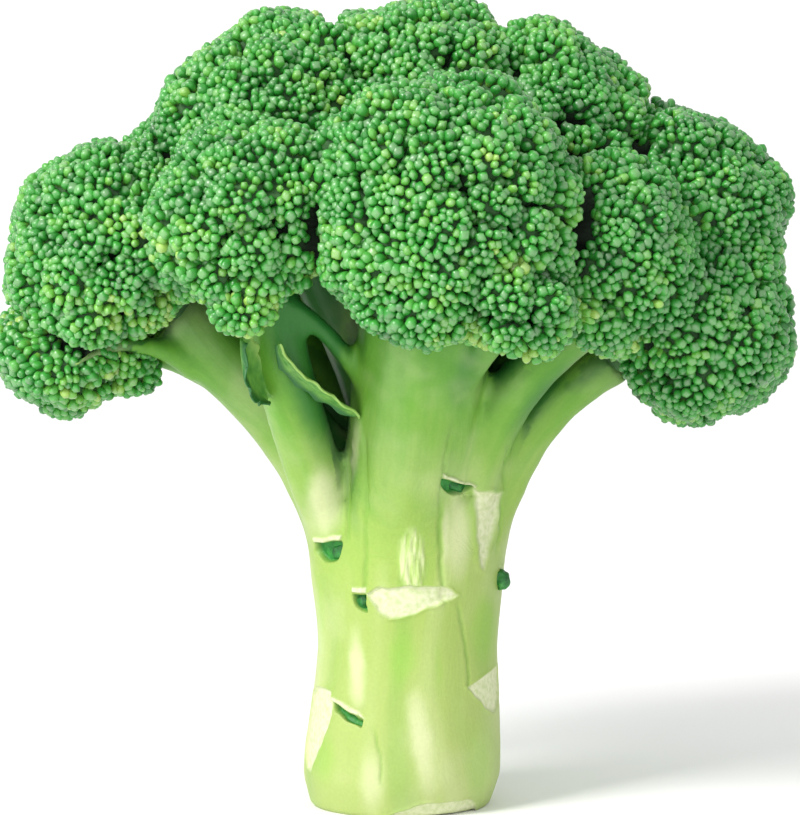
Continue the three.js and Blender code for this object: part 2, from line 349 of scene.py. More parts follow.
def skin_mottle_group():
    """Fine speckle and soft patches that vary a plant skin's colour and height."""
    tree, nodes, given, out = new_group(
        "skin_mottle",
        {
            "Vector": (VECTOR, None),
            "Colour": (COLOUR, (0.5, 0.7, 0.2, 1)),
            "Patch Colour": (COLOUR, (0.8, 0.9, 0.5, 1)),
            "Patch Scale": (FLOAT, 90.0),
            "Patch Amount": (FLOAT, 0.5),
            "Speckle Scale": (FLOAT, 1500.0),
            "Speckle Amount": (FLOAT, 0.25),
        },
        {"Colour": COLOUR, "Height": FLOAT},
    )
    patch = nodes.rise(nodes.noise(given["Vector"], given["Patch Scale"], 3.0), 0.45, 0.75)
    amount = nodes.math("MULTIPLY", patch, given["Patch Amount"])
    patched = nodes.mix(amount, given["Colour"], given["Patch Colour"])
    speckle = nodes.noise(given["Vector"], given["Speckle Scale"], 2.0)
    shade = nodes.math("MULTIPLY_ADD", nodes.math("SUBTRACT", speckle, 0.5), given["Speckle Amount"])
    shade.node.inputs[2].default_value = 1.0
    grey = nodes.add("ShaderNodeCombineColor", {"Red": shade, "Green": shade, "Blue": shade}).outputs[0]
    nodes.feed(out["Colour"], nodes.mix(1.0, patched, grey, "MULTIPLY"))
    nodes.feed(out["Height"], speckle)
    return tree


# ---- camera, light and stage

def make_camera():
    camera = bpy.data.cameras.new("camera")
    camera.sensor_width = SENSOR_WIDTH
    camera.sensor_fit = "HORIZONTAL"
    camera.lens = SENSOR_WIDTH * VIEW_DISTANCE / VIEW_WIDTH
    camera.clip_start = 0.05
    camera.clip_end = 20
    made = bpy.data.objects.new("camera", camera)
    back = Vector((0, -math.cos(VIEW_ELEVATION), math.sin(VIEW_ELEVATION)))
    made.location = VIEW_AIM + back * VIEW_DISTANCE
    made.rotation_euler = back.to_track_quat("Z", "Y").to_euler()
    bpy.context.scene.collection.objects.link(made)
    bpy.context.scene.camera = made


def add_area_light(name, place, size, power, tint):
    light = bpy.data.lights.new(name, "AREA")
    light.size = size
    light.energy = power
    light.color = tint
    made = bpy.data.objects.new(name, light)
    made.location = place
    made.rotation_euler = (Vector(place) - LIGHT_AIM).to_track_quat("Z", "Y").to_euler()
    bpy.context.scene.collection.objects.link(made)


def make_stage():
    """A white sweep of floor and wall, a broad key light from the upper left and a soft fill."""
    bend_start = SWEEP_BACK - SWEEP_BEND
    rail = [(SWEEP_FRONT, 0.0), (bend_start, 0.0)]
    for step in range(1, SWEEP_STEPS + 1):
        turn = step / SWEEP_STEPS * math.pi / 2
        rail.append((bend_start + SWEEP_BEND * math.sin(turn), SWEEP_BEND - SWEEP_BEND * math.cos(turn)))
    rail.append((SWEEP_BACK, SWEEP_HEIGHT))
    points = np.array([(side * SWEEP_HALF_WIDTH, y, z) for y, z in rail for side in (-1, 1)])
    rows = np.arange(len(rail) - 1) * 2
    faces = np.stack([rows, rows + 1, rows + 3, rows + 2], axis=1)
    sweep = mesh_object("white_sweep", points, faces)
    material, nodes, shader = new_material("white_sweep_paper")
    place = nodes.add("ShaderNodeTexCoord").outputs["Object"]
    tone = nodes.noise(place, 3.0)
    paper = nodes.ramp(tone, [(0.0, (0.93, 0.93, 0.93)), (1.0, (0.95, 0.95, 0.95))])
    nodes.feed(shader.inputs["Base Color"], paper)
    shader.inputs["Roughness"].default_value = 0.9
    shader.inputs["Specular IOR Level"].default_value = 0.1
    sweep.data.materials.append(material)

    world = bpy.data.worlds.new("studio_air")
    world.use_nodes = True
    air = world.node_tree.nodes["Background"].inputs
    air["Color"].default_value = (1, 1, 1, 1)
    air["Strength"].default_value = 0.8
    bpy.context.scene.world = world
    add_area_light("key", (-1.1, -0.9, 1.15), 0.6, 29, (1, 0.99, 0.97))
    add_area_light("front_fill", (-0.1, -1.5, 0.3), 0.8, 5, (1, 1, 1))
    bpy.context.scene.view_settings.view_transform = "Standard"


# ---- florets

def tuft_middle():
    """The middle of the tuft of buds that hangs under the left lobe."""
    low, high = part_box("floret_left_lower")
    return np.array((high[0], (low[1] + high[1]) / 2, low[2])) + TUFT_OFFSET


def tuft_solid():
    """The tuft as a closed mesh of triangles."""
    points, faces = unit_ball(3)
    return tuft_middle() + points * TUFT_HALF, faces


class Cap:
    """One CAD floret."""

    def __init__(self, node):
        points, triangles = cad_arrays(node)
        self.centre = solid_centre(points, triangles)
        self.tree = tree_of(points, triangles)


def evaluated_arrays(rough):
    """The points and quads of an object with its modifiers, which is then removed."""
    graph = bpy.context.evaluated_depsgraph_get()
    mesh = bpy.data.meshes.new_from_object(rough.evaluated_get(graph))
    bpy.data.objects.remove(rough)
    made = np.empty(len(mesh.vertices) * 3)
    mesh.vertices.foreach_get("co", made)
    quads = np.empty(len(mesh.loops), dtype=np.int32)
    mesh.loops.foreach_get("vertex_index", quads)
    bpy.data.meshes.remove(mesh)
    return made.reshape(-1, 3), quads.reshape(-1, 4)


def add_remesh(obj, voxel):
    remesh = obj.modifiers.new("remesh", "REMESH")
    remesh.mode = "VOXEL"
    remesh.voxel_size = voxel


def add_smooth(obj, passes):
    smooth = obj.modifiers.new("smooth", "SMOOTH")
    smooth.factor = 0.5
    smooth.iterations = passes


def add_growth(obj, distance):
    grow = obj.modifiers.new("grow", "DISPLACE")
    grow.direction = "NORMAL"
    grow.mid_level = 0
    grow.strength = distance


def point_normals(points, quads):
    """The outward direction at each point of a mesh of quads."""
    corners = points[quads]
    facing = np.cross(corners[:, 2] - corners[:, 0], corners[:, 3] - corners[:, 1])
    directions = np.zeros_like(points)
    for k in range(4):
        np.add.at(directions, quads[:, k], facing)
    return unit(directions)


def nearest_cap(points, caps):
    """For each point, the floret it lies nearest to, and how much farther off the next one is."""
    gaps = np.full((len(caps) + 1, len(points)), CAP_REACH)
    for row, cap in enumerate(caps.values()):
        for index, point in enumerate(points):
            found = cap.tree.find_nearest(Vector(point), CAP_REACH)
            if found[0] is not None:
                gaps[row, index] = found[3]
    ordered = np.sort(gaps, axis=0)
    return gaps.argmin(0), ordered[1] - ordered[0]


class Crown:
    """Florets as one mass, its valleys filled to a soft round, with each point's own floret."""

    def __init__(self, caps, voxel, fill):
        solids = [grown_solid(node, CROWN_GROWTH) for node in caps]
        if fill:
            solids.append(tuft_solid())
        rough = mesh_object("rough_crown", *joined(solids))
        add_remesh(rough, voxel)
        if fill:
            add_growth(rough, fill)
            add_remesh(rough, voxel)
            add_smooth(rough, 6)
            add_growth(rough, -fill)
            add_remesh(rough, voxel)
        add_smooth(rough, 6)
        self.points, self.quads = evaluated_arrays(rough)
        self.normals = point_normals(self.points, self.quads)
        self.owner, self.seam = nearest_cap(self.points, caps)


def stem_foot():
    """The point in the middle of the head that the florets' own stems come from."""
    return np.array((0, 0, cad_arrays("stalk")[0][:, 2].max() * 0.86))


def surface_samples(crown, spacing, rng):
    """Points spread over the crown, with the surface's direction and the floret at each."""
    quads = crown.quads
    halves = np.concatenate([quads[:, [0, 1, 2]], quads[:, [0, 2, 3]]])
    a, b, c = (crown.points[halves[:, k]] for k in range(3))
    area = np.linalg.norm(np.cross(b - a, c - a), axis=1) / 2
    count = int(area.sum() / spacing**2)
    chosen = rng.choice(len(halves), count, p=area / area.sum())
    u, v = rng.random((2, count))
    over = u + v > 1
    u[over], v[over] = 1 - u[over], 1 - v[over]
    weights = np.stack([1 - u - v, u, v], axis=1)
    corners = halves[chosen]
    spots = np.einsum("nk,nkd->nd", weights, crown.points[corners])
    normals = np.einsum("nk,nkd->nd", weights, crown.normals[corners])
    corner = corners[np.arange(count), weights.argmax(1)]
    return spots, unit(normals), crown.owner[corner], crown.seam[corner]


def thin_out(spots, radii, order):
    """Keeps points, in the given order, that stand at least their own radius from those kept before."""
    cell = radii.max()
    cells = {}
    kept = []
    for index in order:
        spot = spots[index]
        home = tuple((spot // cell).astype(int))
        near = (
            other
            for x in (-1, 0, 1)
            for y in (-1, 0, 1)
            for z in (-1, 0, 1)
            for other in cells.get((home[0] + x, home[1] + y, home[2] + z), ())
        )
        if all(np.dot(spot - spots[other], spot - spots[other]) > radii[index] ** 2 for other in near):
            cells.setdefault(home, []).append(index)
            kept.append(index)
    return np.array(kept, dtype=int)


def bud_outline(height, blunt):
    """Half the width of a bud at a height from 0 to 1: a slim foot, a full middle and a blunt round tip."""
    if height < 0.62:
        return 0.5 * (0.5 + 0.5 * math.sin(math.pi / 2 * height / 0.62))
    return 0.5 * (1 - ((height - 0.62) / 0.38) ** blunt) ** (1 / blunt)


def bud_shapes():
    """Closed buds of a few builds, each with four sepals folded over its tip."""
    segments = BUD_SIDES
    heights = (0.05, 0.4, 0.62, 0.8, 0.92, 0.98)
    rng = np.random.default_rng(9)
    turn = np.arange(segments) / segments * 2 * math.pi
    shapes = []
    for plump, blunt, lobe, bend in BUD_BUILDS:
        rings = [np.array([[0, 0, 0.0]])]
        for height in heights:
            half = plump * bud_outline(height, blunt)
            wave = 1 + lobe * height**2 * np.cos(4 * turn) + 0.04 * rng.normal(size=segments)
            ring = np.stack([np.cos(turn) * half * wave, np.sin(turn) * half * wave], axis=1)
            ring[:, 0] += bend * height**2
            rings.append(np.column_stack([ring, np.full(segments, height)]))
        rings.append(np.array([[bend, 0, 1.0]]))
        shapes.append(np.concatenate(rings))
    faces = []
    for k in range(segments):
        after = (k + 1) % segments
        faces.append((0, 1 + after, 1 + k))
        for row in range(len(heights) - 1):
            low, high = 1 + row * segments, 1 + (row + 1) * segments
            faces.append((low + k, low + after, high + after))
            faces.append((low + k, high + after, high + k))
        top_row = 1 + (len(heights) - 1) * segments
        faces.append((top_row + k, top_row + after, segments * len(heights) + 1))
    return np.array(shapes), np.array(faces)


BUD_SHAPES, BUD_FACES = bud_shapes()


def bud_frames(axes, rng):
    """A turned frame for each bud, with its third column along the bud's axis."""
    sideways = unit(np.cross(axes, rng.normal(size=axes.shape)))
    across = np.cross(axes, sideways)
    return np.stack([sideways, across, axes], axis=2)


def groups_of(spots, spacing, rng):
    """Middles spread over the spots; each spot's nearest, and how far out it is, from 0 to 1 at the edge."""
    radii = spacing * (0.75 + 0.4 * rng.random(len(spots)))
    middles = thin_out(spots, radii, rng.permutation(len(spots)))
    tree = kd_of(spots[middles])
    nearest = np.empty(len(spots), dtype=int)
    share = np.empty(len(spots))
    for index, spot in enumerate(spots):
        found = tree.find_n(spot, 2)
        near, far = found[0][2], found[-1][2]
        nearest[index] = found[0][1]
        share[index] = near / max(1e-9, (near + far) / 2)
    return middles, nearest, share


def soft_noise(points, scale, seed):
    """A smooth value from about -1 to 1 that wanders over the given length."""
    rng = np.random.default_rng(seed)
    total = np.zeros(len(points))
    for _ in range(6):
        way = unit(rng.normal(size=3)) / scale * rng.uniform(0.7, 1.4)
        total += np.sin(points @ way * 2 * math.pi + rng.uniform(0, 2 * math.pi))
    return total / 2.4


class Relief:
    """How the crown's surface rises and falls: clusters, and small knots of buds within them."""

    def __init__(self, spots, seam, rng):
        middles, nearest, share = groups_of(spots, CLUSTER_SPACING, rng)
        _, _, knot_share = groups_of(spots, KNOT_SPACING, rng)
        _, _, lobe_share = groups_of(spots, LOBE_SPACING, rng)
        parting = np.clip(0.6 + 0.9 * soft_noise(spots, 30 * MM, 12), 0, 1.5)
        parting *= 1 - smoothstep(0, SEAM_WIDTH, seam)
        depth = np.clip(0.35 + 1.1 * soft_noise(spots, 20 * MM, 5), 0.0, 1.5)
        standing = rng.uniform(-0.9, 0.9, len(middles)) * MM
        dome = np.sqrt(np.clip(1 - 0.92 * share**2, 0, 1))
        crevice = depth * smoothstep(0.76, 1.0, share)
        lobe = np.sqrt(np.clip(1 - 0.92 * lobe_share**2, 0, 1))
        knot = np.sqrt(np.clip(1 - 0.9 * knot_share**2, 0, 1))
        self.share = share
        self.middles = spots[middles][nearest]
        size = np.clip(np.ptp(spots, axis=0).max() / (80 * MM), 0, 1)
        self.lift = CLUSTER_SWELL * (dome - 0.65) + standing[nearest] * dome
        self.lift += KNOT_SWELL * (knot - 0.7)
        self.lift += LOBE_SWELL * (lobe - 0.72)
        self.lift -= CREVICE_DEPTH * crevice + SEAM_DEPTH * parting
        self.lift *= size
        self.lift += 1.2 * MM * soft_noise(spots, 38 * MM, 8)


def build_buds(node, spots, normals, lift, share, fan, low, rng, material):
    """The buds of one floret as one mesh, each bud closed."""
    count = len(spots)
    grow = 0.76 + 0.36 * share
    axes = unit(normals + fan * (share * 0.5)[:, None] + rng.normal(0, 0.12, spots.shape))
    kind = rng.integers(0, len(BUD_SHAPES), count)
    width = BUD_WIDTH * grow * rng.uniform(0.88, 1.14, count)
    length = BUD_LENGTH * (0.85 + 0.35 * share) * rng.uniform(0.88, 1.15, count)
    shapes = BUD_SHAPES[kind].copy()
    shapes[:, :, :2] *= width[:, None, None] * rng.uniform(0.86, 1.14, (count, 1, 2))
    shapes[:, :, 2] *= length[:, None]
    shapes[:, :, 2] -= BUD_SUNK
    turned = np.einsum("nij,nvj->nvi", bud_frames(axes, rng), shapes)
    points = (turned + (spots + normals * lift[:, None])[:, None, :]).reshape(-1, 3)
    per_bud = BUD_SHAPES.shape[1]
    faces = (BUD_FACES[None] + (np.arange(count) * per_bud)[:, None, None]).reshape(-1, 3)
    buds = mesh_object(f"{node}_buds", points, faces)

    patch = soft_noise(spots, 16 * MM, 21)
    yellow = smoothstep(0.15, 0.75, low + 0.35 * patch + 0.1 * rng.normal(size=count))
    tone = 0.42 + 0.12 * (1 - share) + 0.115 * rng.normal(size=count) + 0.08 * patch
    tone += 0.3 * yellow * rng.uniform(0.4, 1, count)
    # Painted shade: buds darker towards the right, the side away from the key light.
    tone -= 0.09 * smoothstep(10 * MM, 65 * MM, spots[:, 0])
    if node == SPRAY:
        rise = spots[:, 2] - spots[:, 2].min()
        tone += 0.34 * smoothstep(0.35, 1, rise / rise.max())
    tone = np.clip(tone, 0.03, 0.86)
    tones = np.repeat(tone, per_bud)
    along = np.tile(BUD_SHAPES[0][:, 2], count)
    add_attribute(buds, "tone", tones)
    add_attribute(buds, "along", along)
    layer = buds.data.uv_layers.new(name="OFBake")
    corners = faces.ravel()
    places = np.stack([tones[corners], along[corners]], axis=1)
    layer.data.foreach_set("uv", places.astype(np.float32).ravel())
    buds.data.materials.append(material)
    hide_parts(node)
    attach(buds, "root")


def build_core(node, points, quads, lift, material):
    """The rind of stalklets under a floret's buds, from its share of the crown, with how deep the crown
    sinks at each point kept for the painted shade in its crevices.
    """
    used = np.unique(quads)
    index = np.zeros(len(points), dtype=np.int32)
    index[used] = np.arange(len(used))
    core = mesh_object(f"{node}_core", points[used], index[quads])
    # Painted shade: how deep the crown sinks here, which darkens the stalklets towards black.
    add_attribute(core, "crevice_shade", smoothstep(-0.5 * MM, -3 * MM, lift[used]))
    rind = core.modifiers.new("rind", "SOLIDIFY")
    rind.thickness = RIND
    rind.offset = -1
    core.data.materials.append(material)
    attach(core, "root")


def bud_material():
    """Closed buds: blue green to yellow green from bud to bud, paler at the foot, and paler on the sepals'
    tips, partly their own waxy bloom and partly a painted highlight.
    """
    material, nodes, shader = new_material("closed_green_buds")
    tone = nodes.attribute("tone")
    along = nodes.attribute("along")
    body = nodes.ramp(
        tone,
        [
            (0.0, linear(26, 94, 34)),
            (0.3, linear(42, 132, 44)),
            (0.5, linear(66, 158, 60)),
            (0.75, linear(112, 178, 68)),
            (1.0, linear(186, 204, 104)),
        ],
    )
    foot = nodes.mix(0.6, body, (*linear(150, 190, 80), 1))
    # The pale tips: partly the sepals' waxy bloom, partly a painted highlight on each bud's top.
    tip = nodes.mix(0.34, body, (*linear(150, 170, 140), 1))
    low = nodes.mix(nodes.rise(along, 0.1, 0.45), foot, body)
    colour = nodes.mix(nodes.rise(along, 0.84, 1.0), low, tip)
    nodes.feed(shader.inputs["Base Color"], colour)
    shader.inputs["Roughness"].default_value = 0.32
    shader.inputs["Specular IOR Level"].default_value = 0.7
    grained(nodes, shader, 1800.0, 3.0, 0.35, 0.0002)
    return material


def core_material():
    """The stalklets between the buds, painted dark green as the shade under the buds, and darker still,
    towards black, as painted shade where the crown sinks into crevices.
    """
    material, nodes, shader = new_material("shaded_bud_stalklets")
    place = nodes.add("ShaderNodeTexCoord").outputs["Object"]
    grain = nodes.noise(place, 500.0, 4.0)
    # Painted shade: dark green for the shade under the buds, darkening towards black where the crown sinks
    # deepest.
    near = nodes.ramp(grain, [(0.3, linear(38, 72, 38)), (0.7, linear(58, 104, 52))])
    colour = nodes.mix(nodes.attribute("crevice_shade"), near, (*linear(20, 34, 20), 1))
    nodes.feed(shader.inputs["Base Color"], colour)
    shader.inputs["Roughness"].default_value = 0.8
    return material


def build_crown(nodes, voxel, fill, bare, rng, bud_look, core_look):
    """The buds and rinds of florets that make one crown together."""
    caps = {node: Cap(node) for node in nodes}
    crown = Crown(caps, voxel, fill)
    spots, normals, owner, seam = surface_samples(crown, BUD_SPACING * 0.42, rng)
    relief = Relief(spots, seam, rng)
    centres = np.array([cap.centre for cap in caps.values()])
    stems = unit(centres - stem_foot())
    low = -np.einsum("nd,nd->n", unit(spots - centres[owner]), stems[owner])
    hanging = np.linalg.norm((spots - tuft_middle()) / TUFT_HALF, axis=1) < 1.5
    low = np.where(hanging, np.minimum(low, -0.3), low)
    fan = unit(spots - relief.middles + 1e-9)
    radii = BUD_SPACING * (0.78 + 0.34 * relief.share) * rng.uniform(0.94, 1.06, len(spots))
    gap = (relief.lift < -GAP_DEPTH) & (rng.random(len(spots)) < 0.93)
    clothed = np.flatnonzero((low < bare) & ~gap)
    placed = spots + normals * relief.lift[:, None]
    kept = thin_out(placed, radii, clothed[rng.permutation(len(clothed))])
    nearest = kd_of(spots)
    lift = np.array([relief.lift[nearest.find(point)[1]] for point in crown.points])
    core_points = crown.points + crown.normals * (lift - CORE_DEPTH)[:, None]
    quad_owner = crown.owner[crown.quads[:, 0]]
    for row, node in enumerate(nodes):
        own = kept[owner[kept] == row]
        values = (spots, normals, relief.lift, relief.share, fan, low)
        build_buds(node, *(value[own] for value in values), rng, bud_look)
        build_core(node, core_points, crown.quads[quad_owner == row], lift, core_look)


def build_florets():
    looks = bud_material(), core_material()
    rng = np.random.default_rng(31)
    main = [node for node in FLORETS if node != SPRAY]
    build_crown(main, CROWN_VOXEL, VALLEY_FILL, BARE_UNDERSIDE, rng, *looks)
    build_crown([SPRAY], SPRAY_VOXEL, 0, 2, rng, *looks)


# ---- stalk and branches

def grown(points, triangles, growth):
    """A closed mesh grown along its point directions."""
    a, b, c = (points[triangles[:, k]] for k in range(3))
    facing = np.cross(b - a, c - a)
    directions = np.zeros_like(points)
    for k in range(3):
        np.add.at(directions, triangles[:, k], facing)
    return points + unit(directions) * growth


def grown_solid(node, growth):
    """A CAD node's points, grown, and its triangles."""
    points, triangles = cad_arrays(node)
    return grown(points, triangles, growth), triangles


def centre_line(points):
    """A curve through the middle of a stem, as x and y for a height."""
    order = np.argsort(points[:, 2])
    return [np.polyfit(points[order, 2], points[order, k], 3) for k in (0, 1)]


def relaxed(points, quads, strength, passes):
    """Points drawn towards their neighbours' middle, each by its own strength."""
    near, after = quads.ravel(), np.roll(quads, -1, axis=1).ravel()
    first, second = np.concatenate([near, after]), np.concatenate([after, near])
    count = np.bincount(first, minlength=len(points))[:, None]
    for _ in range(passes):
        sums = [np.bincount(first, points[second, k], len(points)) for k in range(3)]
        points = points + (np.stack(sums, axis=1) / count - points) * strength[:, None]
    return points


def stem_owner(points):
    """For each point of the skin, its nearest stem, and how far it lies from that stem's middle, across."""
    stems = [cad_arrays(node) for node in ("stalk", *BRANCHES)]
    trees = [tree_of(*stem) for stem in stems]
    lines = [centre_line(solid) for solid, _ in stems]
    owner = np.empty(len(points), dtype=int)
    for index, point in enumerate(points):
        spot = Vector(point)
        best, best_gap = 0, 1.0
        for which, tree in enumerate(trees):
            found = tree.find_nearest(spot, best_gap)
            if found[0] is not None and found[3] < best_gap:
                best, best_gap = which, found[3]
        owner[index] = best
    side = np.empty((len(points), 2))
    for which, line in enumerate(lines):
        own = owner == which
        for k in (0, 1):
            side[own, k] = points[own, k] - np.polyval(line[k], points[own, 2])
    return owner, side


def ribs_of(owner, side, height):
    """Lengthwise ribs: a few rounded ridges round each stem, different on each."""
    turn = np.arctan2(side[:, 1], side[:, 0])
    away = smoothstep(2 * MM, 5 * MM, np.linalg.norm(side, axis=1))
    rng = np.random.default_rng(64)
    phase = rng.uniform(0, 2 * math.pi, (owner.max() + 1, 3))
    drift = rng.uniform(-12, 12, owner.max() + 1)
    ribs = np.sin(5 * turn + phase[owner, 0] + drift[owner] * height)
    ribs += 0.7 * np.sin(8 * turn + phase[owner, 1] - 0.6 * drift[owner] * height)
    return away * (ribs + 0.4 * np.sin(13 * turn + phase[owner, 2])) / 2.1


def blended(values, mesh, passes):
    """Values at a mesh's points drawn towards their neighbours', so that they change softly."""
    ends = np.empty(len(mesh.edges) * 2, dtype=np.int32)
    mesh.edges.foreach_get("vertices", ends)
    first, second = ends.reshape(-1, 2).T
    count = np.bincount(ends, minlength=len(values))
    for _ in range(passes):
        sums = np.bincount(first, values[second], len(values))
        sums += np.bincount(second, values[first], len(values))
        values = (values + sums / count) / 2
    return values


def ellipse_reach(across, up, middle, half, lean=0.0):
    """How far inside an ellipse a point lies, in metres; less than 0 is outside."""
    side, rise = across - middle[0] * MM, up - middle[1] * MM
    cos, sin = math.cos(lean), math.sin(lean)
    along, over = side * cos + rise * sin, rise * cos - side * sin
    share = np.sqrt((along / (half[0] * MM)) ** 2 + (over / (half[1] * MM)) ** 2)
    return (1 - share) * min(half) * MM


def corner_reach(across, up, *corners):
    """How far inside a shape of straight edges, its corners given clockwise in millimetres, a point lies."""
    reach = np.full(len(across), 1.0)
    for (x0, z0), (x1, z1) in zip(corners, (*corners[1:], corners[0])):
        length = math.hypot(x1 - x0, z1 - z0)
        side = ((across / MM - x0) * (z1 - z0) - (up / MM - z0) * (x1 - x0)) / length
        reach = np.minimum(reach, side * MM)
    return reach


def line_below(across, up, middle, slope):
    """How far below a slanting line a point lies."""
    return (middle[1] * MM + slope * (across - middle[0] * MM) - up) / math.hypot(1, slope)


def half_notch(across, up, middle, half, edge, slope):
    """A notch: the part of an ellipse below a slanting edge."""
    return np.minimum(ellipse_reach(across, up, middle, half), line_below(across, up, edge, slope))


def lips_and_notches(across, up):
    """The axil notches that the side shoots sit in, and the lip over each, as reaches in metres."""
    notches = [
        half_notch(across, up, (-15.7, 59.6), (3.2, 4.6), (-15.7, 59.6), 0.14),
        half_notch(across, up, (12.6, 73.4), (3.3, 2.8), (12.6, 73.3), -0.33),
        np.minimum(half_notch(across, up, (-7.4, 49.0), (3.0, 4.2), (-7.4, 48.9), 0.0), -7.3 * MM - across),
        corner_reach(across, up, (-14.9, 24.6), (-8.1, 21.2), (-8.6, 19.6), (-14.2, 22.3)),
    ]
    lips = [
        corner_reach(across, up, (-19.0, 60.4), (-12.4, 61.5), (-12.6, 60.3), (-18.6, 59.3)),
        corner_reach(across, up, (9.4, 75.5), (16.6, 72.4), (16.2, 72.0), (9.5, 74.4)),
        corner_reach(across, up, (-10.2, 50.4), (-7.2, 50.8), (-7.3, 49.3), (-10.3, 49.3)),
        corner_reach(across, up, (-15.6, 26.2), (-8.4, 23.0), (-7.6, 21.2), (-15.0, 24.9)),
    ]
    return np.maximum.reduce(notches), np.maximum.reduce(lips)


def cut_faces(across, up, depth):
    """How far inside a trimmed leaf face each point is; those at the sides end in rounded edges."""
    upper = corner_reach(across, up, (15.9, 71.9), (22.4, 70.2), (21.6, 66.5), (18.4, 53.5), (17.3, 54.5))
    left = corner_reach(
        across, up, (-22.0, 27.4), (-14.9, 26.9), (-14.7, 20.8), (-16.9, 15.5), (-19.4, 8.6), (-22.0, 8.6)
    )
    right = corner_reach(across, up, (14.7, 28.0), (23.6, 32.6), (23.8, 20.4), (20.0, 21.4))
    front = corner_reach(
        across, up, (-7.2, 49.2), (-4.5, 50.7), (1.0, 50.9), (7.5, 51.0), (11.0, 50.2), (12.6, 48.6),
        (8.0, 46.6), (2.5, 44.8), (-2.2, 43.6), (-4.6, 45.4),
    )
    foot = corner_reach(
        across, up, (-7.0, -1.0), (-3.6, 3.2), (6.0, 3.3), (11.5, 4.9), (16.4, 2.4), (17.0, -1.0)
    )
    faces = [
        0.45 * np.minimum(upper, ellipse_reach(depth, up, (-13.5, 64), (5.5, 10.5))),
        np.minimum(left, ellipse_reach(depth, up, (-9, 17.5), (8.5, 10.5), -0.2)),
        np.minimum(right, ellipse_reach(depth, up, (-8.5, 27), (8.0, 6.0), 0.3)),
        front,
        foot,
    ]
    return np.maximum.reduce(faces)


def soft_ellipse(across, up, middle, half, lean=0.0, outer=-0.2):
    """1 in the middle of an ellipse, falling softly to 0 at its outer edge."""
    return smoothstep(outer, 0.9, ellipse_reach(across, up, middle, half, lean) / (min(half) * MM))


def pale_bands(across, up):
    """Broad pale and green bands of the stalk, from -1, green, to 1, pale: the skin's own streaks, with the
    green down the right side partly painted shade on the side away from the light.
    """
    def soft(*shape):
        return soft_ellipse(across, up, *shape)

    pale = 1.1 * soft((-16.4, 69), (5.2, 10.5)) + 0.9 * soft((-9.4, 32), (2.6, 12), 0.03)
    pale += 0.9 * soft((4.6, 17), (3.4, 17), 0.16) + 0.9 * soft((12.6, 62), (3.8, 13))
    pale += 0.7 * soft((-6.0, 8), (4, 10))
    pale += 0.8 * soft((-10.0, 80), (1.3, 10), -0.12) + 0.5 * soft((9.8, 62), (0.9, 9), 0.0)
    # The green bands down the right side, at 18.5 and 17.5 across, are partly painted shade on the side away
    # from the light.
    green = 0.9 * soft((0.5, 35), (4.2, 9)) + 0.8 * soft((18.5, 40), (4.5, 12))
    green += 0.8 * soft((17.5, 11), (4.5, 12)) + 0.7 * soft((-16.8, 12), (4, 8))
    green += 0.6 * soft((-17.5, 42), (1.6, 12)) + 0.5 * soft((8.2, 33), (1.6, 10))
    return pale - green


def deep_shade(across, up):
    """Painted shade: a deeper green on the stems' sides in the forks, where they lie in shadow, from 0 to 1.
    """
    def soft(*shape):
        return soft_ellipse(across, up, *shape, outer=-0.5)

    side, rise = across / MM, up / MM
    fork = smoothstep(-1.5, 4.5, side + 28.8 - (106.5 - rise) * 0.34) * smoothstep(74, 90, rise)
    shade = [
        fork * (1 - smoothstep(-13.5, -11.5, side)),
        0.8 * soft((14.2, 99), (3.0, 8), -0.3),
        0.8 * soft((30.5, 92), (3.0, 11), -0.65),
        0.5 * soft((-10.8, 74), (1.6, 12), 0.1),
    ]
    return np.maximum.reduce(shade)


def groove_depths(across, up):
    """Fine grooves beside the front stem and down the stalk, from 0 to 1."""
    rise = up / MM

    def line(middle, low, high, width):
        gap = np.abs(across - middle * MM)
        ends = smoothstep(low * MM, (low + 4) * MM, up) * (1 - smoothstep((high - 6) * MM, high * MM, up))
        return ends * (1 - smoothstep(0, width * MM, gap))

    depths = [
        line(-6.9 - 0.0035 * (rise - 64) ** 2 - 0.5 * np.sin((rise - 50) / 9), 46, 88, 0.8),
        line(8.6 + 0.0048 * (rise - 62) ** 2, 45, 90, 0.8),
        line(-11.1 + 0.01 * (rise - 70), 58, 88, 0.7),
        line(15.0 - 0.006 * (rise - 26) ** 2, 26, 49, 0.6),
        line(-4.0 - 0.012 * (rise - 8) ** 2, 6, 22, 0.6),
        line(24.2 - 0.09 * (90 - rise), 56, 84, 0.7),
    ]
    return np.maximum.reduce(depths)


def refine(shell, chosen):
    """The chosen faces of a mesh split in four."""
    shell.faces.ensure_lookup_table()
    edges = {edge for index in np.flatnonzero(chosen) for edge in shell.faces[index].edges}
    shell.edges.index_update()
    ordered = sorted(edges, key=lambda edge: edge.index)
    bmesh.ops.subdivide_edges(shell, edges=ordered, cuts=1, use_grid_fill=True)


def refined_skin(points, quads):
    """The skin as a mesh whose faces are finer over the stalk's front, and finest over the cuts."""
    skin = mesh_object("stem_skin", points, quads)
    shell = bmesh.new()
    shell.from_mesh(skin.data)
    middles = np.array([face.calc_center_median()[:] for face in shell.faces])
    ways = np.array([face.normal[:] for face in shell.faces])
    refine(shell, (ways[:, 1] < 0.25) & (middles[:, 2] < 84 * MM) & (middles[:, 1] < 4 * MM))
    middles = np.array([face.calc_center_median()[:] for face in shell.faces])
    across, up = middles[:, 0], middles[:, 2]
    notch, lip = lips_and_notches(across, up)
    reach = np.maximum.reduce([notch, lip, cork_reach(across, up)])
    reach = np.maximum(reach, -np.abs(cut_faces(across, up, middles[:, 1])))
    refine(shell, (reach > -0.5 * MM) & (middles[:, 1] < 2 * MM))
    shell.to_mesh(skin.data)
    shell.free()
    skin.data.update()
    return skin


def cork_reach(across, up):
    """The upright corky patch over the widest cut."""
    return ellipse_reach(across, up, (2.6, 56.4), (2.7, 6.6))


